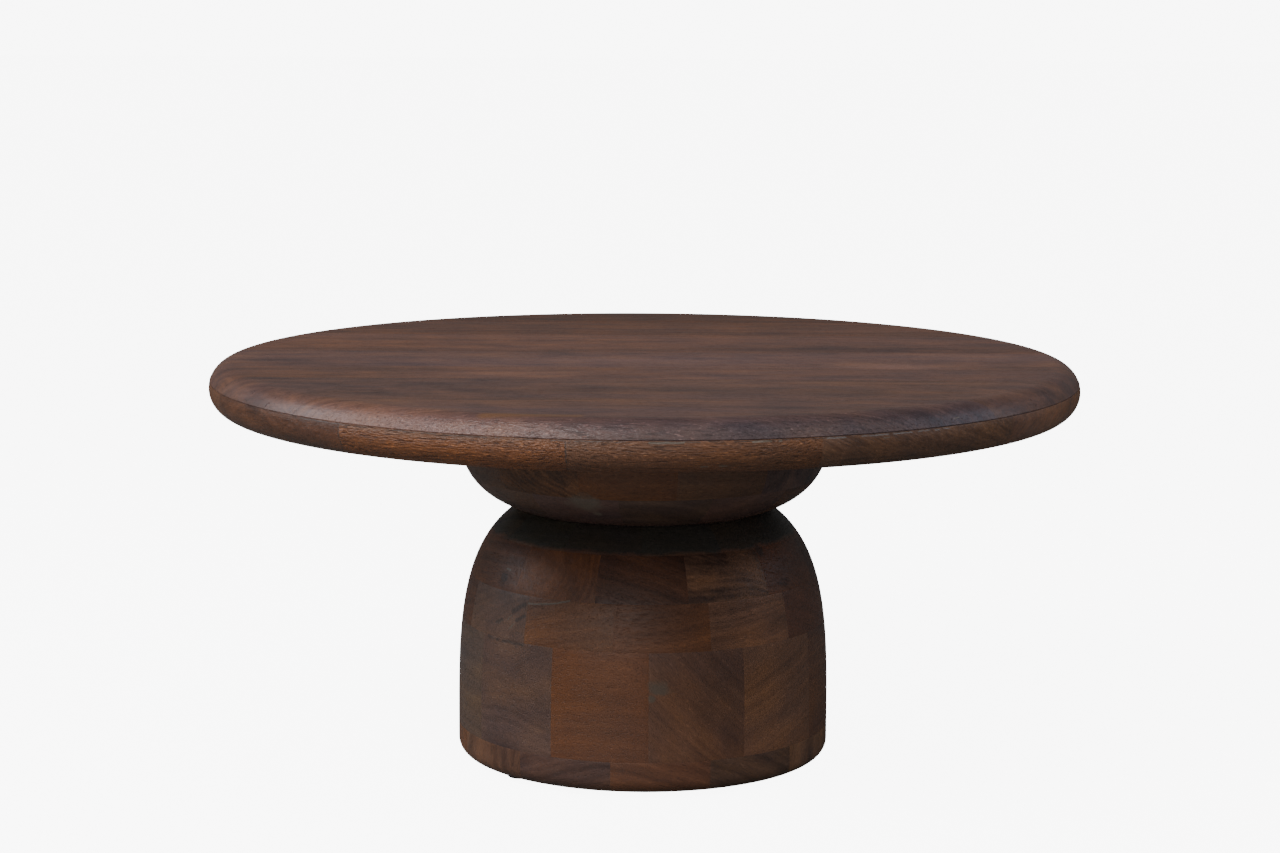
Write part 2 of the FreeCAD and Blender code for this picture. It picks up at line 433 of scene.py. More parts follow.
def ring_of_blocks_tree():
    """One block under an outline, set round the axis at the turn of each input point. Each block keeps its
    own lay of the grain, and fine checks open along it."""
    tree, given = shape_tree(
        "Ring of blocks", Geometry=["Block turns"], Object=["Outline"],
        Float=["Outline length", "Inner flat", "Radius", "Check depth"], Int=["Columns", "Rows"],
        Material=["Finish"])
    cube = place(tree, "GeometryNodeMeshCube", {
        "Vertices X": 2, "Vertices Y": given["Columns"] + 1.0, "Vertices Z": given["Rows"] + 1.0,
        "Size": (1.0, 1.0, 1.0)})
    corner = parts(position(tree))
    outward, across, upward = (corner[axis] + 0.5 for axis in "XYZ")
    across, in_from_side = from_joint(across, given["Columns"], given["Radius"] * BLOCK_ANGLE)
    upward, in_from_end = from_joint(upward, given["Rows"], given["Outline length"])
    radius, height = outline_point(given["Outline"], upward)
    inside = calc("MINIMUM", in_from_side, in_from_end)
    outer = radius - (1.0 - inside) * JOINT_DEPTH
    angle = (across - 0.5) * BLOCK_ANGLE
    inner = given["Inner flat"] / calc("COSINE", angle)
    reach = inner + (outer - inner) * outward
    spot = joined(X=reach * calc("SINE", angle), Y=-(reach * calc("COSINE", angle)), Z=height)
    block = place(tree, "GeometryNodeSetPosition", {"Geometry": cube["Mesh"], "Position": spot})[0]
    block = keep_attribute(block, "from_front", "FLOAT_VECTOR", position(tree))
    block = keep_attribute(block, "face", "FLOAT", outward * inside)
    block = keep_attribute(block, "joint", "FLOAT", outward * (1.0 - inside))

    ring = place(tree, "GeometryNodeInstanceOnPoints", {
        "Points": given["Block turns"], "Instance": block,
        "Rotation": joined(Z=read_attribute(tree, "turn"))})[0]
    ring = place(tree, "GeometryNodeRealizeInstances", {"Geometry": ring})[0]
    from_front, lay, pith = (
        read_attribute(tree, name, "FLOAT_VECTOR") for name in ("from_front", "lay", "pith"))
    laid = place(tree, "ShaderNodeVectorRotate", {"Vector": from_front - pith, "Rotation": lay},
                 rotation_type="EULER_XYZ")[0]
    timber = laid + joined(X=read_attribute(tree, "along"))
    ring = keep_attribute(ring, "timber", "FLOAT_VECTOR", timber)

    crack = stretched_noise(timber, 18.0, 520.0, 0.0)[0]
    limit = read_attribute(tree, "cracked") * -0.12 + 0.72
    face = calc("GREATER_THAN", read_attribute(tree, "face"), 0.99)
    ring = keep_attribute(ring, "check", "FLOAT", above(crack, limit, 12.0) * face)
    normal = place(tree, "GeometryNodeInputNormal", {})[0]
    inwards = scaled(normal, -(read_attribute(tree, "check") * given["Check depth"]))
    ring = place(tree, "GeometryNodeSetPosition", {"Geometry": ring, "Offset": inwards})[0]
    finish_tree(tree, ring, given["Finish"])
    return tree


def store(mesh, name, kind, field, values):
    """Attribute with a number, vector or colour at each vertex."""
    numbers = values
    if field != "value":
        numbers = [number for value in values for number in value]
    mesh.attributes.new(name, kind, "POINT").data.foreach_set(field, numbers)


def grain(stain, figure=1.0, lean=0.0, tip=0.0, pith=(0.0, 60.0, 120.0), cracked=0.0):
    """How one block was sawn. Lean and tip turn its grain out of the level, up to the right and out to the
    front, in degrees. The pith is so far right, behind the face and above the block's middle, in mm."""
    return {"stain": STAINS[stain], "figure": figure, "lean": lean, "tip": tip, "pith": pith,
            "cracked": cracked}


def any_grain(draw):
    """A block sawn anyhow, for the places that have no special look."""
    side = draw.choice((-1, 1))
    stain = draw.choice(("amber", "russet", "mocha", "plum", "umber", "russet", "mocha"))
    return grain(stain, draw.uniform(0.5, 1.3), draw.gauss(0, 8), draw.gauss(0, 14),
                 (draw.uniform(-60, 60), draw.uniform(20, 110), side * draw.uniform(10, 160)),
                 draw.uniform(0, 0.6))


def blocks_of(name, turns, kinds, radius, middle_z, draw):
    """Points for a ring of blocks, each with its turn in degrees and how it was sawn."""
    piece = point_piece(name, [(0.0, 0.0, 0.0)] * len(turns))
    piths, lays = [], []
    for kind in kinds:
        right, behind, over = (0.001 * length for length in kind["pith"])
        piths.append((right, behind - radius, middle_z + over))
        lays.append((0.0, math.radians(kind["lean"]), math.radians(kind["tip"])))
    tint = [[channel * draw.uniform(0.96, 1.04) for channel in kind["stain"]] + [1.0] for kind in kinds]
    store(piece.data, "turn", "FLOAT", "value", [math.radians(turn) for turn in turns])
    store(piece.data, "stain", "FLOAT_COLOR", "color", tint)
    for key in ("figure", "cracked"):
        store(piece.data, key, "FLOAT", "value", [kind[key] for kind in kinds])
    store(piece.data, "along", "FLOAT", "value", [draw.uniform(-20, 20) for kind in kinds])
    store(piece.data, "lay", "FLOAT_VECTOR", "vector", lays)
    store(piece.data, "pith", "FLOAT_VECTOR", "vector", piths)
    return piece


def timber_figure_group():
    """Growth rings, fibres and pores of hardwood on timber coordinates: metres, X along the grain,
    the pith at the origin. Glints are light flecks along the grain: painted highlight. Swirl bends the rings
    round a knot."""
    tree, given, made = shader_group(
        "Timber figure", {"Vector": ["Timber"], "Float": ["Swirl", "Ring spacing", "Waviness"]},
        {"Float": ["Rings", "Fibres", "Pores", "Flecks", "Mottle", "Drift"]})
    timber = given["Timber"]
    drift = stretched_noise(timber, 2.6, 9.0, 1.0)[0]
    slow = stretched_noise(timber, 3.5, 12.0, 2.0)["Color"]
    quick = stretched_noise(timber, 20.0, 70.0, 2.0)["Color"]
    wave = slow + scaled(quick, 0.25) - (0.625, 0.625, 0.625)
    bent = timber + scaled(wave, given["Waviness"])
    age = (measured("LENGTH", bent * (0.0, 1.0, 1.0)) + given["Swirl"]) / given["Ring spacing"]
    bands = place(tree, "ShaderNodeTexNoise", {"W": age, "Scale": 0.42, "Detail": 3.0, "Roughness": 0.6},
                  noise_dimensions="1D")[0]
    swing = (bands - 0.5) * (drift * 1.6 + 0.2)
    years = calc("SINE", age * FULL_TURN) * 0.04
    glints = stretched_noise(bent + (3.0, 3.0, 3.0), 160.0, 600.0, 2.0)[0]
    set_inputs(made, {
        "Rings": swing + years + 0.5,
        "Fibres": stretched_noise(bent, 9.0, 330.0, 4.0, 0.62)[0],
        "Pores": above(stretched_noise(bent, 110.0, 1300.0, 1.0)[0], 0.56, 8.0),
        "Flecks": above(glints, 0.60, 9.0),
        "Mottle": stretched_noise(bent, 16.0, 38.0, 4.0)[0],
        "Drift": drift})
    return tree


def stain_group():
    """Colour of stained timber: darker and colder in the late wood, lighter and warmer in the early wood."""
    tree, given, made = shader_group(
        "Stained timber", {"Color": ["Stain"], "Float": ["Tone", "Warmth", "Flecks", "Pores", "Checks"]},
        {"Color": ["Colour"]})
    cold = tinted(given["Stain"], 1.0, (0.91, 1.00, 1.22))
    warm = tinted(given["Stain"], 1.0, (1.07, 0.99, 0.78))
    ground = blended(given["Warmth"], cold, warm)
    late = tinted(ground, 1.0, (0.42, 0.42, 0.46))
    early = tinted(ground, 1.0, (1.56, 1.58, 1.56))
    colour = blended(given["Tone"], late, early)
    # Glints lighten the colour: painted highlight on the grain.
    colour = tinted(colour, given["Flecks"], (2.2, 2.25, 2.3))
    colour = tinted(colour, given["Pores"] * 0.40, (0.34, 0.32, 0.32))
    colour = tinted(colour, given["Checks"] * 0.75, (0.26, 0.22, 0.20))
    set_inputs(made, {"Colour": colour})
    return tree


def knot_group():
    """Round or oval knot: a swirl that bends the rings and a dark heart."""
    tree, given, made = shader_group(
        "Knot", {"Vector": ["Position", "Centre", "Size"]}, {"Float": ["Swirl", "Heart"]})
    ragged = noise_at(given["Position"], 60.0, 3.0)["Color"] - (0.5, 0.5, 0.5)
    away = (given["Position"] - given["Centre"]) / given["Size"]
    far = measured("LENGTH", away + scaled(ragged, 0.9))
    set_inputs(made, {"Swirl": calc("EXPONENT", far * far * -0.5), "Heart": above(1.0 - far, 0.35, 3.0)})
    return tree


def stroke_group():
    """Thin uneven line between two points, such as a filled crack."""
    tree, given, made = shader_group(
        "Stroke", {"Vector": ["Position", "From", "To"], "Float": ["Width"]}, {"Float": ["Mask"]})
    wander = noise_at(given["Position"], 180.0, 4.0)["Color"] - (0.5, 0.5, 0.5)
    run = given["To"] - given["From"]
    start = given["Position"] + scaled(wander, 0.0025) - given["From"]
    share = held(measured("DOT_PRODUCT", start, run) / measured("DOT_PRODUCT", run, run))
    gap = measured("DISTANCE", start, scaled(run, share))
    set_inputs(made, {"Mask": held(1.5 - gap / given["Width"])})
    return tree


def ring_line_group():
    """Thin broken line round the table at one height, between two turns, such as a filled glue line."""
    tree, given, made = shader_group(
        "Ring line",
        {"Vector": ["Position"], "Float": ["Height", "First turn", "Last turn", "Width"]},
        {"Float": ["Mask"]})
    at = parts(given["Position"])
    turn = calc("ARCTAN2", at["X"], -at["Y"])
    height = (noise_at(given["Position"], 150.0, 4.0)[0] - 0.5) * 0.002 + at["Z"]
    mask = held(1.5 - calc("ABSOLUTE", height - given["Height"]) / given["Width"])
    mask = mask * calc("GREATER_THAN", turn, given["First turn"])
    mask = mask * calc("LESS_THAN", turn, given["Last turn"])
    broken = above(noise_at(given["Position"], 70.0, 3.0)[0], 0.42, 14.0)
    set_inputs(made, {"Mask": mask * broken})
    return tree


def dry_checks_group():
    """Short dark checks along the grain of wood that has dried. More of them open with a higher dryness."""
    tree, given, made = shader_group(
        "Dry checks", {"Vector": ["Timber"], "Float": ["Dryness"]}, {"Float": ["Checks"]})
    crack = stretched_noise(given["Timber"], 26.0, 650.0, 1.0)[0]
    limit = given["Dryness"] * -0.10 + 0.68
    set_inputs(made, {"Checks": held(above(crack, limit, 12.0) * given["Dryness"])})
    return tree


ring_of_blocks = ring_of_blocks_tree()
timber_figure = timber_figure_group()
stained_timber = stain_group()
knot = knot_group()
stroke = stroke_group()
ring_line = ring_line_group()
dry_checks = dry_checks_group()


def attribute(tree, name, output="Fac"):
    return place(tree, "ShaderNodeAttribute", {}, attribute_name=name)[output]


def mm(*lengths):
    return tuple(0.001 * length for length in lengths)


def patch(centre, size, colour=PUTTY):
    """Ragged patch of putty, in mm."""
    return knot, {"Centre": mm(*centre), "Size": mm(*size)}, "Heart", colour


def line(start, end, width, colour=PUTTY):
    """Filled crack between two points, in mm."""
    return stroke, {"From": mm(*start), "To": mm(*end), "Width": 0.001 * width}, "Mask", colour


def ring(height, first, last, width, colour=PUTTY):
    """Filled line round the table between two turns in degrees, with its height and width in mm."""
    return ring_line, {"Height": 0.001 * height, "First turn": math.radians(first),
                       "Last turn": math.radians(last), "Width": 0.001 * width}, "Mask", colour


def knot_at(spot, centre, size):
    """Knot with its centre and size in mm. Its swirl alone also serves as a soft patch."""
    return use(spot.tree, knot, {"Position": spot, "Centre": mm(*centre), "Size": mm(*size)})


def timber_finish(name, spacing, waviness, shares, roughness, relief, knots, glows, fillers, surroundings):
    """Stained, lacquered hardwood. Knots bend the rings and have a dark heart, glows lift or lower the tone
    of a patch, and some of them paint highlight on the boards' rounded edge and shade on the pedestal's neck.
    Fillers are filled or marked places. Surroundings returns the stain, dryness and leathery relief of a
    place; its stain carries painted shade on the pedestal's neck and painted sheen on the boards' rounded
    edge and on the rim."""
    material, tree, shader, spot = new_material(name)
    stain, dryness, leather = surroundings(attribute(tree, "stain", "Color"), spot)
    swirls, gains = [], []
    for centre, size, height, heart in knots:
        here = knot_at(spot, centre, size)
        swirls.append(here["Swirl"] * (0.001 * height))
        gains.append(here["Heart"] * -heart)
    gains += [knot_at(spot, centre, size)["Swirl"] * gain for centre, size, gain in glows]
    timber = attribute(tree, "timber", "Vector")
    figure = use(tree, timber_figure, {
        "Timber": timber, "Swirl": sum(swirls), "Ring spacing": spacing, "Waviness": waviness})
    tone = sum((figure[key] - 0.5) * share for key, share in shares.items()) * attribute(tree, "figure")
    tone = held(sum([tone, *gains]) + 0.5)
    warmth = held(sum((figure[key] - 0.5) * 1.4 for key in ("Drift", "Mottle")) + 0.5)
    # Painted glints, more of them where the grain stands up like leather.
    glints = held(figure["Flecks"] * (leather * 0.05 + 0.24))

    dry = use(tree, dry_checks, {"Timber": timber, "Dryness": dryness})[0]
    checks = calc("MAXIMUM", attribute(tree, "check") * 0.35, dry)
    checks = calc("MAXIMUM", checks, attribute(tree, "joint") * 0.7)
    colour = use(tree, stained_timber, {
        "Stain": stain, "Tone": tone, "Warmth": warmth, "Flecks": glints, "Pores": figure["Pores"],
        "Checks": checks})[0]
    for group, values, key, putty in fillers:
        mask = use(tree, group, {"Position": spot, **values})[key]
        colour = blended(mask * 0.8, colour, putty)
    uneven = (figure["Fibres"] - 0.5) * 0.35 + figure["Pores"] * 0.15 + checks * 0.2
    set_inputs(shader, {"Base Color": colour, "Roughness": uneven + roughness})
    grains = stretched_noise(timber, 170.0, 600.0, 3.0)[0]
    height = sum([figure["Fibres"] * 0.6, -figure["Pores"], dry * -2.5, grains * leather])
    raised(shader, height, 0.5, relief)
    return material


def on_dome(turn, height):
    return at_turn(1000 * dome_radius(0.001 * height), turn, height)


def on_bowl(turn, height):
    return at_turn(1000 * bowl_radius(0.001 * height), turn, height)


def swell(distance, full, widest, narrowest, exponent):
    """Radius of a superellipse at a distance from its widest circle."""
    drawn_in = (1 - (narrowest / widest) ** exponent) ** (1 / exponent)
    return widest * (1 - (max(distance, 0) * drawn_in / full) ** exponent) ** (1 / exponent)


def dome_radius(height):
    start = BASE_Z + DOME_SWELL_START
    return swell(height - start, NECK_Z - start, PEDESTAL_RADIUS, NECK_RADIUS, DOME_EXPONENT)


def bowl_radius(height):
    return swell(UNDERSIDE_Z - height, UNDERSIDE_Z - NECK_Z, BOWL_RADIUS, NECK_RADIUS, BOWL_EXPONENT)


def side_outline(course, radius_at, steps=24):
    low, high = COURSE_Z[course]
    heights = [low + (high - low) * step / steps for step in range(steps + 1)]
    return [(radius_at(height), height) for height in heights]


def skirt_outline(steps=14):
    """Quarter round at the foot, then straight up."""
    points = []
    for step in range(steps + 1):
        angle = math.pi / 2 * step / steps
        points.append((PEDESTAL_RADIUS - FOOT_EDGE_RADIUS * (1 - math.sin(angle)),
                       BASE_Z + FOOT_EDGE_RADIUS * (1 - math.cos(angle))))
    high = COURSE_Z["skirt"][1]
    return points + [(dome_radius(high), high)]


def outline_length(points):
    return sum(math.dist(a, b) for a, b in zip(points, points[1:]))


NECK_BAND = (0.2405, 0.2665)
# Tint of the neck's dark band: partly a darker stain, partly painted shade under the bowl and the top.
NECK_STAIN_AND_SHADE = (0.36, 0.63, 0.82)


def stained_and_shaded_neck(stain, spot):
    """The neck is darker: partly a darker stain, which ran a little over the joint below, and partly painted
    shade under the bowl.
    """
    height = parts(spot)["Z"]
    low = (noise_at(spot, 45.0, 5.0)[0] - 0.5) * 0.010 + height
    band = above(low, NECK_BAND[0], 260.0) * calc("LESS_THAN", height, NECK_BAND[1])
    return tinted(stain, band, NECK_STAIN_AND_SHADE), attribute(spot.tree, "cracked"), 0.4


pedestal_finish = timber_finish(
    "Pedestal stain", 0.0065, 0.016, {"Rings": 1.15, "Fibres": 0.45, "Mottle": 1.1}, 0.44, 0.00020,
    knots=(
        (on_dome(-52.8, 208.5), (10, 10, 7), 8, 0.6),
        (on_dome(54, 205), (22, 22, 9), 14, 0.3),
        (on_dome(-42, 78), (40, 40, 26), 7, 0.0),
        (on_bowl(-34, 315), (24, 24, 16), 10, 0.1),
    ),
    glows=(
        (on_dome(-44, 20), (14, 14, 18), -0.30),
        (on_dome(-52.8, 208.5), (7, 7, 6), -0.35),
        (on_dome(-54, 172), (30, 30, 22), 0.28),
        (on_dome(-26, 172), (34, 34, 22), 0.12),
        (on_dome(38, 172), (34, 34, 22), 0.33),
        (on_dome(60, 172), (26, 26, 22), 0.14),
        # This glow and the next, at the neck's height, shape its dark band, which is partly stain and partly
        # painted shade.
        (on_dome(45, 250), (50, 50, 14), 0.25),
        (on_dome(-35, 250), (70, 70, 14), -0.12),
        (on_dome(-1, 142), (22, 22, 16), 0.12),
        (on_dome(13, 62), (12, 12, 20), 0.22),
        (on_dome(22, 66), (8, 8, 16), 0.20),
        (on_dome(24, 108), (30, 30, 30), -0.14),
        (on_dome(22, 212), (26, 26, 7), 0.26),
        (on_dome(-32, 222), (18, 18, 10), 0.12),
        (on_dome(-46, 140), (26, 26, 9), 0.14),
        (on_dome(52, 62), (34, 34, 26), 0.14),
        (on_dome(20, 60), (16, 16, 30), -0.12),
        (on_bowl(-8, 340), (40, 40, 16), 0.10),
    ),
    fillers=(
        patch(on_bowl(-20, 295), (38, 38, 18)),
        patch(on_bowl(-16.3, 283.6), (9, 9, 6)),
        patch(on_dome(5, 114), (20, 20, 13), GREEN_PUTTY),
        patch(on_dome(2.6, 103), (9, 9, 8), GREEN_PUTTY),
        patch(on_dome(47.0, 238), (13, 13, 10), DARK_MARK),
        line(on_dome(-39, 188.5), on_dome(-31, 191), 0.9),
        line(on_dome(-31, 191), on_dome(-24, 196.2), 0.9),
        line(on_dome(-53, 217), on_dome(-51, 216), 1.0),
        line(on_dome(-51, 163), on_dome(-49.5, 167), 0.6),
        line(on_dome(-47, 169), on_dome(-45.5, 174), 0.6),
        line(on_dome(-46, 160), on_dome(-44, 166), 0.6),
        line(on_dome(-45, 178), on_dome(-40.5, 187), 2.4, DARK_MARK),
        line(on_dome(-43, 170), on_dome(-40, 176), 2.0, DARK_MARK),
        line(on_dome(-52, 164), on_dome(-49.5, 168), 1.6, DARK_MARK),
        ring(147.2, -56, -37, 1.8, DARK_MARK),
    ),
    surroundings=stained_and_shaded_neck)

# From the left of the front to its right, how the blocks that face the front were sawn.
FRONT_BLOCKS = {
    "skirt": (grain("mocha", 1.2, 84), grain("sable", 0.8, 14), grain("russet", 0.8, -16),
              grain("sable", 0.8, -24), grain("honey", 1.2, 80), grain("umber", 0.8)),
    "wall": (grain("plum", 0.5), grain("plum", 0.75, -3, 6, (0, 30, 25)),
             grain("amber", 0.4, 3, 4, (0, 70, 60)), grain("mocha", 0.5, -50, 14, (-50, 40, -60)),
             grain("honey", 0.6, 24, -22, (60, 30, -80)), grain("mocha", 0.5)),
    "waist": (grain("plum", 0.9, 10, 20, (10, 30, -30)), grain("amber", 0.7, 14, 6, (0, 40, 110)),
              grain("amber", 0.6, 4, 4, (0, 60, -120)), grain("honey", 1.2, 6, 6, (0, 30, -90)),
              grain("russet", 0.6, -20), grain("mocha", 0.8)),
    "shoulder": (grain("russet", 0.8, 5), grain("amber", 0.9, 16, 78, (-22, 0, 8)),
                 grain("umber", 1.0, -18, 6), grain("honey", 2.2, -10, 24, (-8, 26, -62)),
                 grain("russet", 0.8, -10, 20, (20, 20, 10)), grain("umber", 0.7)),
    "neck": tuple(grain("mocha", 0.4, lean) for lean in (4, 0, -5, 6, 2)),
    "bowl_lower": (grain("plum", 0.7), grain("plum", 0.7, 4), grain("slate", 0.8, -6),
                   grain("plum", 0.8, 5), grain("mocha", 0.8)),
    "bowl_upper": (grain("mocha", 0.8), grain("amber", 1.9, -42, 10, (-30, 30, -50)),
                   grain("amber", 0.7, 3), grain("mocha", 0.8, -3), grain("smoke", 2.0, 86, 10),
                   grain("sable", 0.85)),
}
JOINT_TURNS = {"skirt": 20.5, "wall": 1.7, "waist": 20.9, "shoulder": 14.5, "neck": 29.5,
               "bowl_lower": 22.0, "bowl_upper": 10.0}
COLUMNS = 30
ROWS = {"skirt": 18, "wall": 30, "waist": 14, "shoulder": 16, "neck": 10, "bowl_lower": 16,
        "bowl_upper": 20}
PEDESTAL_CHECK_DEPTH = 0.00015

draw = random.Random(17)
for course, joint_turn in JOINT_TURNS.items():
    if course == "skirt":
        outline = skirt_outline()
    else:
        outline = side_outline(course, bowl_radius if course.startswith("bowl") else dome_radius)
    kinds = list(FRONT_BLOCKS[course])
    kinds += [any_grain(draw) for index in range(BLOCKS - len(kinds))]
    turns = [joint_turn + (index - 2.5) * BLOCK_DEGREES for index in range(BLOCKS)]
    narrowest = min(outline[0][0], outline[-1][0]) if course != "skirt" else PEDESTAL_RADIUS
    widest = max(outline[0][0], outline[-1][0])
    points = blocks_of(course + "_course_blocks", turns, kinds, widest, sum(COURSE_Z[course]) / 2, draw)
    piece = shape(points, ring_of_blocks, outline, SHARP_ANGLE, Outline_length=outline_length(outline),
                  Inner_flat=narrowest - BLOCK_WIDTH, Radius=widest, Columns=COLUMNS, Rows=ROWS[course],
                  Check_depth=PEDESTAL_CHECK_DEPTH, Finish=pedestal_finish)
    belongs(piece, "pedestal_blocks", course + "_course")

# Mounting disc and centre planks
# Hidden wood that carries the top: a twelve sided disc glued inside the bowl, and a centre panel of three
# planks inside the ring. Both are sawn, planed and left under a thin brown stain.

THIN_STAIN = (0.30, 0.17, 0.10, 1.0)
PITH_BELOW = (0.7, 0.06, -0.25)


def sawn_wood():
    """Sawn face of the hidden wood, with its grain along Y."""
    material, tree, shader, spot = new_material("Thin brown stain")
    turned = place(tree, "ShaderNodeMapping", {
        "Vector": spot, "Location": PITH_BELOW, "Rotation": (0.0, 0.0, math.pi / 2)})[0]
    figure = use(tree, timber_figure, {"Timber": turned, "Ring spacing": 0.006, "Waviness": 0.015})
    tone = (figure["Rings"] - 0.5) + (figure["Fibres"] - 0.5) * 0.6 + 0.5
    colour = use(tree, stained_timber, {
        "Stain": THIN_STAIN, "Tone": tone, "Warmth": 0.5, "Pores": figure["Pores"]})[0]
    set_inputs(shader, {"Base Color": colour, "Roughness": figure["Fibres"] * 0.2 + 0.6})
    raised(shader, figure["Fibres"], 0.6, 0.0003)
    return material


def paint(node, material):
    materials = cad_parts[node].data.materials
    materials.clear()
    materials.append(material)


thin_stain = sawn_wood()
for node in ("mounting_disc", "centre_plank_1", "centre_plank_2", "centre_plank_3"):
    paint(node, thin_stain)

# Coach screws
# Three zinc plated steel screws with hexagon heads, driven up through the mounting disc into the middle
# plank. A long socket spanner reaches them through the hollow pedestal.

ZINC_DARK = (0.46, 0.46, 0.47)
ZINC_LIGHT = (0.64, 0.64, 0.66)

zinc_plate, tree, shader, spot = new_material("Zinc plate")
gritty(shader, spot, 700.0, ZINC_DARK, ZINC_LIGHT, 0.25, 0.00004)
set_inputs(shader, {"Metallic": 1.0})
paint("coach_screws", zinc_plate)

# Rim segments
# The ring under the table top is twelve segments of the same hardwood, glued end to end with the grain
# running round. Its outside is turned to the lower part of the half round edge, and has dried to fine checks.

EDGE_RADIUS = 0.025
EDGE_CENTRE_Z = 0.395
TOP_RADIUS = 0.450
BOARD_Z = 0.402
RING_WIDTH = 0.092
RIM_TURN = 21.0
RIM_CHECK_DEPTH = 0.0005
RIM_COLUMNS = 120
RIM_ROWS = 64
PALE_PUTTY = (0.185, 0.170, 0.165)
# Cold tint on the rim's upper edge in front on the left: painted sheen.
RIM_SHEEN_TINT = (0.80, 0.98, 1.36)
RIM_SHEEN_Z = 0.3955


def edge_outline(low, high, steps):
    """Part of the half round edge between two heights, as radii and heights."""
    first, last = (math.asin(max(-1, (height - EDGE_CENTRE_Z) / EDGE_RADIUS)) for height in (low, high))
    points = []
    for step in range(steps + 1):
        angle = first + (last - first) * step / steps
        points.append((TOP_RADIUS - EDGE_RADIUS * (1 - math.cos(angle)),
                       EDGE_CENTRE_Z + EDGE_RADIUS * math.sin(angle)))
    return points


def on_edge(turn, height):
    """Point on the half round edge, in mm, at a turn in degrees and a height in mm."""
    drop = height - 1000 * EDGE_CENTRE_Z
    radius = 1000 * (TOP_RADIUS - EDGE_RADIUS) + math.sqrt((1000 * EDGE_RADIUS) ** 2 - drop ** 2)
    return at_turn(radius, turn, height)


def dry_rim_with_sheen(stain, spot):
    """The rim has dried more than the rest, so its grain stands up like leather. A cold tint of painted
    sheen, like the one on the table top's rounded edge, runs a little over its upper edge in front on the
    left."""
    at = parts(spot)
    left = -at["X"]
    left = above(left, 0.02, 8.0) - above(left, 0.26, 14.0)
    height = (noise_at(spot, 90.0, 5.0)[0] - 0.5) * 0.008 + at["Z"]
    cracked = attribute(spot.tree, "cracked")
    return tinted(stain, above(height, RIM_SHEEN_Z, 220.0) * left, RIM_SHEEN_TINT), cracked, cracked * 10.0 + 1.0


rim_finish = timber_finish(
    "Rim stain", 0.0050, 0.012, {"Rings": 0.8, "Fibres": 1.0, "Mottle": 0.6}, 0.42, 0.00040,
    knots=((on_edge(-57, 398), (26, 26, 14), 10, 0.25),),
    glows=(
        (on_edge(-22, 390), (80, 80, 12), 0.20),
        (on_edge(0, 386), (70, 70, 8), 0.06),
        (on_edge(-54, 390), (70, 70, 16), -0.21),
        (on_edge(30, 380), (70, 70, 20), -0.08),
        (on_edge(26, 392), (16, 16, 30), -0.18),
        (on_edge(62, 392), (60, 60, 20), 0.16),
    ),
    fillers=(
        line(on_edge(6.6, 377.5), on_edge(7.4, 377.8), 0.9),
        line(on_edge(8.8, 378.2), on_edge(9.6, 378.0), 0.9),
        ring(401.1, -46, 24, 0.5, DARK_MARK),
        ring(400.4, -1.8, 4.6, 0.8),
        ring(400.4, 12.4, 16, 0.9),
        ring(400.6, 21.5, 39.1, 0.5, PALE_PUTTY),
        line(on_edge(29, 397.4), on_edge(29.8, 397.6), 0.4),
        *[line(on_edge(turn, low), on_edge(turn, low + 9), 0.85, DARK_MARK)
          for turn in (-39, -9) for low in (373, 382, 391)],
    ),
    surroundings=dry_rim_with_sheen)

# How the segments that face the front were sawn, by their numbers. The rest were sawn anyhow.
RIM_FRONT = {
    10: grain("bronze", 1.0, 4, 6, (0, 60, 50), 0.2), 11: grain("rust", 0.9, 1, 2, (0, 60, 110), 1.0),
    12: grain("amber", 0.9, -2, 2, (0, 60, 110), 0.9), 1: grain("mocha", 1.2, -28, 14, (0, 40, -60), 0.3),
    2: grain("honey", 1.2, 40, 20, (-20, 40, 40), 0.2)}
draw = random.Random(31)
outline = edge_outline(UNDERSIDE_Z, BOARD_Z, 40)
for number in range(1, BLOCKS + 1):
    kind = RIM_FRONT.get(number, any_grain(draw))
    turns = [RIM_TURN + (number - 0.5) * BLOCK_DEGREES]
    points = blocks_of("rim_segment_%d_block" % number, turns, [kind], TOP_RADIUS, EDGE_CENTRE_Z, draw)
    segment = shape(points, ring_of_blocks, outline, SHARP_ANGLE, Outline_length=outline_length(outline),
                    Inner_flat=TOP_RADIUS - RING_WIDTH, Radius=TOP_RADIUS, Columns=RIM_COLUMNS,
                    Rows=RIM_ROWS, Check_depth=RIM_CHECK_DEPTH, Finish=rim_finish)
    belongs(segment, "rim_ring", "rim_segment_%d" % number)

# Table top boards
# Seven solid boards with their grain from left to right, edge glued, turned to a disc over the ring and
# rounded over to the upper part of the half round edge. The glue line under them has chipped in front.

TOP_Z = 0.420
BOARD_JOINTS = (-0.3024, -0.1647, -0.0738, 0.0522, 0.2052, 0.3303)
FLAT_RADIUS = TOP_RADIUS - EDGE_RADIUS
FACE_RADIUS = FLAT_RADIUS - 0.004
WAVY_RADIUS = FLAT_RADIUS - 0.002
SHEEN_RADIUS = 0.418
END_GRAIN_REACH = 0.02
FLAT_TURNS = 360
FINE_TURNS = 1440
FLAT_STEPS = 48
EDGE_STEPS = 14
SEAM_LIP = 0.004
SEAM_WIDTH = 0.0010
SEAM_DEPTH = 0.0004
SEAM_REACH = 0.0065
CHIP_DEPTH = 0.0012
CHIP_MIDDLE = math.radians(-98)
CHIP_SPREAD = 0.45
WAVE_DEPTH = 0.00015
HAIR = 0.0001
PALE_WOOD = (0.165, 0.076, 0.033)
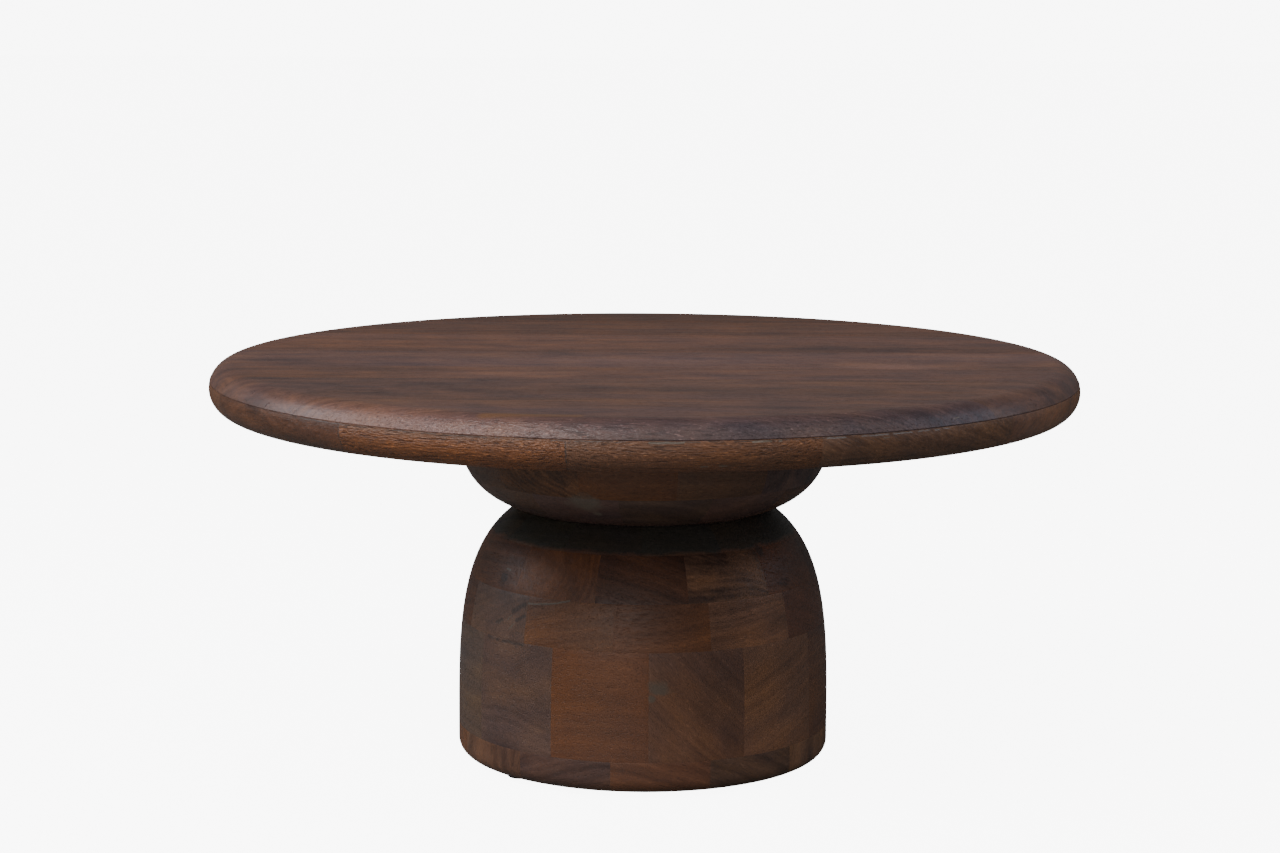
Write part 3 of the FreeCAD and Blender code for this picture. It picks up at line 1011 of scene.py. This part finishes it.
# Cold purple tint on the front of the rounded edge: painted sheen.
BOARD_SHEEN_TINT = (0.66, 0.80, 1.06)
BOARD_STAINS = ((0.120, 0.058, 0.043), (0.123, 0.058, 0.040), (0.142, 0.065, 0.045), (0.152, 0.072, 0.053),
                (0.153, 0.066, 0.043), (0.128, 0.052, 0.031), (0.120, 0.045, 0.022))


def chip(angle):
    """How deep the glue line is chipped at an angle round the top, most in front."""
    front = max(0.25, 1.0 - abs(angle - CHIP_MIDDLE) / CHIP_SPREAD)
    rough = noise.noise((angle * 60, 0.0, 0.0)) + 0.5 * noise.noise((angle * 190, 5.0, 0.0))
    return CHIP_DEPTH * front * max(0.0, rough)


def seam(spot):
    """How dark the glue line over the ring is at a point of a board. It comes and goes round the edge."""
    if spot.z > BOARD_Z + HAIR or spot.xy.length < TOP_RADIUS - SEAM_REACH:
        return 0.0
    return min(max(0.45 + 1.3 * noise.noise((spot.x * 22, spot.y * 22, 7.0)), 0.0), 1.0)


def turned_top():
    """The disc over the ring: a flat face in coarse steps and a rounded edge in fine ones."""
    mesh = bmesh.new()

    def circle(radius, height, turns, chipped=0.0):
        spots = []
        for index in range(turns):
            angle = FULL_TURN * index / turns - math.pi
            reach = radius - chipped * chip(angle)
            spots.append(mesh.verts.new((reach * math.cos(angle), reach * math.sin(angle), height)))
        return spots

    def pairs(ring):
        return zip(ring, ring[1:] + ring[:1])

    def band(low, high):
        for (low_left, low_right), (high_left, high_right) in zip(pairs(low), pairs(high)):
            mesh.faces.new((low_left, low_right, high_right, high_left))

    def fan(ring, height, upwards):
        middle = mesh.verts.new((0, 0, height))
        for pair in pairs(ring):
            mesh.faces.new((*(pair if upwards else pair[::-1]), middle))

    edge = edge_outline(BOARD_Z, TOP_Z, EDGE_STEPS)
    last = circle(edge[0][0] - SEAM_LIP, BOARD_Z, FINE_TURNS)
    fan(last, BOARD_Z, False)
    chamfer = [(edge[0][0] - SEAM_DEPTH, BOARD_Z, 1.0), (edge[0][0], BOARD_Z + SEAM_WIDTH, 0.6)]
    for radius, height, chipped in chamfer + [(*point, 0.0) for point in edge[1:]]:
        ring = circle(radius, height, FINE_TURNS, chipped)
        band(last, ring)
        last = ring
    ring = circle(FACE_RADIUS, TOP_Z, FLAT_TURNS)
    fine = FINE_TURNS // FLAT_TURNS
    for index in range(FLAT_TURNS):
        outer = [last[(index * fine + step) % FINE_TURNS] for step in range(fine + 1)]
        mesh.faces.new(outer + [ring[(index + 1) % FLAT_TURNS], ring[index]])
    last = ring
    for step in range(1, FLAT_STEPS):
        ring = circle(FACE_RADIUS * (1 - step / FLAT_STEPS), TOP_Z, FLAT_TURNS)
        band(last, ring)
        last = ring
    fan(last, TOP_Z, True)
    for vert in mesh.verts:
        if vert.co.z > TOP_Z - HAIR and vert.co.xy.length < WAVY_RADIUS:
            wave = noise.noise((vert.co.x * 7, vert.co.y * 16, 0.0))
            vert.co.z -= WAVE_DEPTH * max(0.0, 0.5 + wave)
    return mesh


def cut_across(mesh, place_y, side, clear):
    """Cuts at a plane across Y. What is beyond it goes, or only an edge line is added."""
    everything = mesh.verts[:] + mesh.edges[:] + mesh.faces[:]
    bmesh.ops.bisect_plane(mesh, geom=everything, plane_co=(0, place_y, 0), plane_no=(0, side, 0),
                           clear_outer=clear, dist=1e-7)


def sawn_board(top, front, back):
    """The board of the disc between two joints, with a fine chamfer along each joint."""
    mesh = top.copy()
    for joint, side in ((front, -1), (back, 1)):
        if joint is None:
            continue
        cut_across(mesh, joint, side, True)
        cut_across(mesh, joint - side * JOINT_WIDTH, side, False)
        for vert in mesh.verts:
            if abs(vert.co.y - joint) < 1e-6 and vert.co.z > BOARD_Z + HAIR:
                out = max(vert.co.xy.length - FLAT_RADIUS, 0.0)
                up = Vector((vert.co.x / TOP_RADIUS * out, 0.0, max(vert.co.z - EDGE_CENTRE_Z, 0.001)))
                vert.co -= up.normalized() * JOINT_DEPTH
        bmesh.ops.holes_fill(mesh, edges=[edge for edge in mesh.edges if edge.is_boundary], sides=0)
    bmesh.ops.recalc_face_normals(mesh, faces=mesh.faces)
    return mesh


def rounding_sheen_and_checks(stain, spot):
    """The front of the rounded edge: a cold purple tint on its middle and right, which is painted sheen, over
    dry grain.
    """
    at = parts(spot)
    radius = measured("LENGTH", spot * (1.0, 1.0, 0.0))
    front = above(radius, SHEEN_RADIUS, 45.0) * above(-at["Y"], 0.20, 6.0)
    # Painted sheen on the middle and right of the front.
    right = front * above(at["X"] - at["Y"], 0.28, 5.0)
    middle = above(at["X"], -0.30, 5.0) - above(at["X"], 0.08, 5.0)
    return tinted(stain, right, BOARD_SHEEN_TINT), front * 0.8, front * (middle * 9.0 + 4.0)


board_finish = timber_finish(
    "Board stain", 0.0055, 0.028, {"Rings": 1.0, "Fibres": 0.75, "Mottle": 0.95}, 0.33, 0.00018,
    knots=(
        ((-270, -262, 420), (52, 26, 60), 16, 0.0),
        ((390, -238, 420), (80, 42, 60), 22, 0.0),
        ((-140, -120, 420), (60, 24, 60), 12, 0.0),
        ((176, -46, 420), (16, 15, 30), 10, 0.2),
        ((236, -68, 420), (18, 12, 30), 10, 0.2),
    ),
    glows=(
        ((-136, -128, 420), (50, 18, 60), 0.36),
        ((256, -61, 420), (36, 12, 60), 0.66),
        ((340, 22, 420), (70, 24, 60), 0.34),
        ((-30, -20, 420), (100, 9, 60), 0.28),
        ((-130, -345, 420), (90, 12, 60), 0.14),
        # This glow and the next two, on the rounded edge at the front left, are painted highlight where the
        # main soft box's highlight falls.
        (on_edge(-33, 409), (80, 60, 6), 0.56),
        (on_edge(-18, 407), (60, 40, 6), 0.36),
        (on_edge(-56, 409), (70, 70, 8), 0.24),
        (on_edge(36, 410), (80, 60, 8), -0.13),
        ((250, 85, 420), (150, 18, 60), -0.26),
        ((-270, -240, 420), (140, 60, 60), -0.22),
        ((-330, -40, 420), (110, 90, 60), -0.16),
        ((30, -60, 420), (190, 60, 60), 0.10),
        ((0, 370, 420), (260, 40, 60), -0.08),
        ((-200, 380, 420), (90, 30, 60), -0.12),
        ((120, -210, 420), (120, 45, 60), 0.12),
        ((0, 165, 420), (260, 34, 60), 0.14),
        ((240, 265, 420), (110, 40, 60), 0.14),
    ),
    fillers=(
        line(on_edge(40, 408.5), on_edge(41, 409), 0.4),
        line((-145, -408, 420), (-60, -417, 420), 5.5, PALE_WOOD),
    ),
    surroundings=rounding_sheen_and_checks)


def end_grain(spot):
    """How much of the end grain shows at a point of a board: none on the face, all at its rounded ends."""
    rounded = min(max((spot.xy.length - FLAT_RADIUS) / END_GRAIN_REACH, 0.0), 1.0)
    return rounded * abs(spot.x / TOP_RADIUS) ** 2


disc = turned_top()
joints = (None, *BOARD_JOINTS, None)
draw = random.Random(41)
for number, tone in enumerate(BOARD_STAINS, start=1):
    front, back = joints[number - 1], joints[number]
    mesh = bpy.data.meshes.new("top_board_%d_planed" % number)
    sawn = sawn_board(disc, front, back)
    sawn.to_mesh(mesh)
    sawn.free()
    middle = ((front or -TOP_RADIUS) + (back or TOP_RADIUS)) / 2
    pith = Vector((draw.uniform(-1, 1), middle + draw.uniform(-0.06, 0.06),
                   TOP_Z - draw.uniform(0.03, 0.09)))
    turned = (Matrix.Rotation(math.radians(draw.uniform(-2, 2)), 3, "Z")
              @ Matrix.Rotation(math.radians(draw.uniform(-1.5, 1.5)), 3, "Y"))
    spots = [vert.co for vert in mesh.vertices]
    store(mesh, "timber", "FLOAT_VECTOR", "vector", [turned @ (spot - pith) for spot in spots])
    store(mesh, "stain", "FLOAT_COLOR", "color", [(*tone, 1.0)] * len(spots))
    store(mesh, "joint", "FLOAT", "value", [seam(spot) for spot in spots])
    strength = draw.uniform(0.8, 1.1)
    store(mesh, "figure", "FLOAT", "value", [strength * (1 + 0.3 * end_grain(spot)) for spot in spots])
    mesh.materials.append(board_finish)
    smooth(mesh, SHARP_ANGLE)
    board = show(mesh.name, mesh)
    belongs(board, "top_boards", "top_board_%d" % number)
disc.free()

# Floor and backdrop
# A plain pale studio floor under and all round the table, which fades into a pale backdrop. The camera sees
# both bright, and the table gets only a little light from them.

HALF_FLOOR = 30.0
WHITE = (1.0, 1.0, 1.0, 1.0)
FLOOR_PALE = (0.9, 0.9, 0.9, 1.0)
FLOOR_BOUNCE = (0.22, 0.21, 0.20, 1.0)
FLOOR_GLOW = 8.0
BACKDROP_GLOW = 8.3
BACKDROP_LIGHT = 0.13


def seen_and_lit(tree, lit, seen, output):
    """One shader for the camera and another for the light on the table."""
    camera_ray = place(tree, "ShaderNodeLightPath", {})["Is Camera Ray"]
    surface = place(tree, "ShaderNodeMixShader", {0: camera_ray, 1: lit, 2: seen})[0]
    set_inputs(tree.nodes[output], {"Surface": surface})


corners = [(-HALF_FLOOR, -HALF_FLOOR, 0), (HALF_FLOOR, -HALF_FLOOR, 0),
           (HALF_FLOOR, HALF_FLOOR, 0), (-HALF_FLOOR, HALF_FLOOR, 0)]
floor_mesh = bpy.data.meshes.new("floor")
floor_mesh.from_pydata(corners, [], [(0, 1, 2, 3)])
show("floor", floor_mesh)
floor_paint, tree, shader, spot = new_material("Floor paint")
set_inputs(shader, {"Base Color": FLOOR_PALE, "Roughness": 0.9, "Emission Color": WHITE,
                    "Emission Strength": FLOOR_GLOW})
bounce = place(tree, "ShaderNodeBsdfDiffuse", {"Color": FLOOR_BOUNCE})[0]
seen_and_lit(tree, bounce, Made(shader)[0], "Material Output")
floor_mesh.materials.append(floor_paint)

backdrop = bpy.data.worlds.new("Backdrop")
bpy.context.scene.world = backdrop
backdrop.use_nodes = True
tree = backdrop.node_tree
light = tree.nodes["Background"]
set_inputs(light, {"Color": WHITE, "Strength": BACKDROP_LIGHT})
seen = place(tree, "ShaderNodeBackground", {"Color": WHITE, "Strength": BACKDROP_GLOW})[0]
seen_and_lit(tree, Made(light)[0], seen, "World Output")

# Lights
# Large soft boxes: the main one in front on the left, a weaker one on the right, two at the sides, a low one
# in front and one overhead.

BOX_DISTANCE = 3.2
BOX_AIM = Vector((0.0, 0.0, 0.25))


def soft_box(name, turn, rise, width, height, power, colour=(1.0, 1.0, 1.0)):
    """Soft box at a turn from the front and a rise above the floor, in degrees, aimed at the table."""
    rise = math.radians(rise)
    away = Vector(at_turn(math.cos(rise), turn, math.sin(rise)))
    lamp = bpy.data.lights.new(name, "AREA")
    lamp.shape = "RECTANGLE"
    lamp.size = width
    lamp.size_y = height
    lamp.energy = power
    lamp.color = colour
    box = show(name, lamp)
    box.location = BOX_AIM + away * BOX_DISTANCE
    box.rotation_euler = (-away).to_track_quat("-Z", "Y").to_euler()


soft_box("Main soft box", -35, 42, 1.8, 1.2, 62)
soft_box("Right soft box", 35, 42, 2.0, 1.4, 17)
soft_box("Left side soft box", -90, 30, 2.0, 1.6, 37, (0.93, 1.0, 1.08))
soft_box("Right side soft box", 90, 30, 2.0, 1.6, 11, (0.86, 1.0, 1.22))
soft_box("Low soft box", -15, 10, 2.4, 1.2, 13)
soft_box("Cool soft box overhead", 20, 84, 2.2, 1.6, 6, (0.80, 0.86, 1.0))

# Camera
# In front of the table and a little above it, with a long lens. The lens and its shifts are in pixels of the
# 1280 pixel wide frame.

CAMERA_PLACE = (0.0, -3.0386, 0.8037)
CAMERA_PITCH = 0.1479
CAMERA_ROLL = 0.0055
FRAME_WIDTH = 1280
FOCAL_LENGTH = 2939.1
SHIFT_RIGHT = -4.35
SHIFT_UP = -2.88
lens = bpy.data.cameras.new("Camera")
lens.sensor_width = 36.0
lens.lens = FOCAL_LENGTH * lens.sensor_width / FRAME_WIDTH
lens.shift_x = SHIFT_RIGHT / FRAME_WIDTH
lens.shift_y = SHIFT_UP / FRAME_WIDTH
lens.dof.use_dof = False
camera = show("Camera", lens)
camera.matrix_world = (
    Matrix.Translation(CAMERA_PLACE) @ Matrix.Rotation(math.pi / 2 - CAMERA_PITCH, 4, "X")
    @ Matrix.Rotation(CAMERA_ROLL, 4, "Z"))
bpy.context.scene.camera = camera
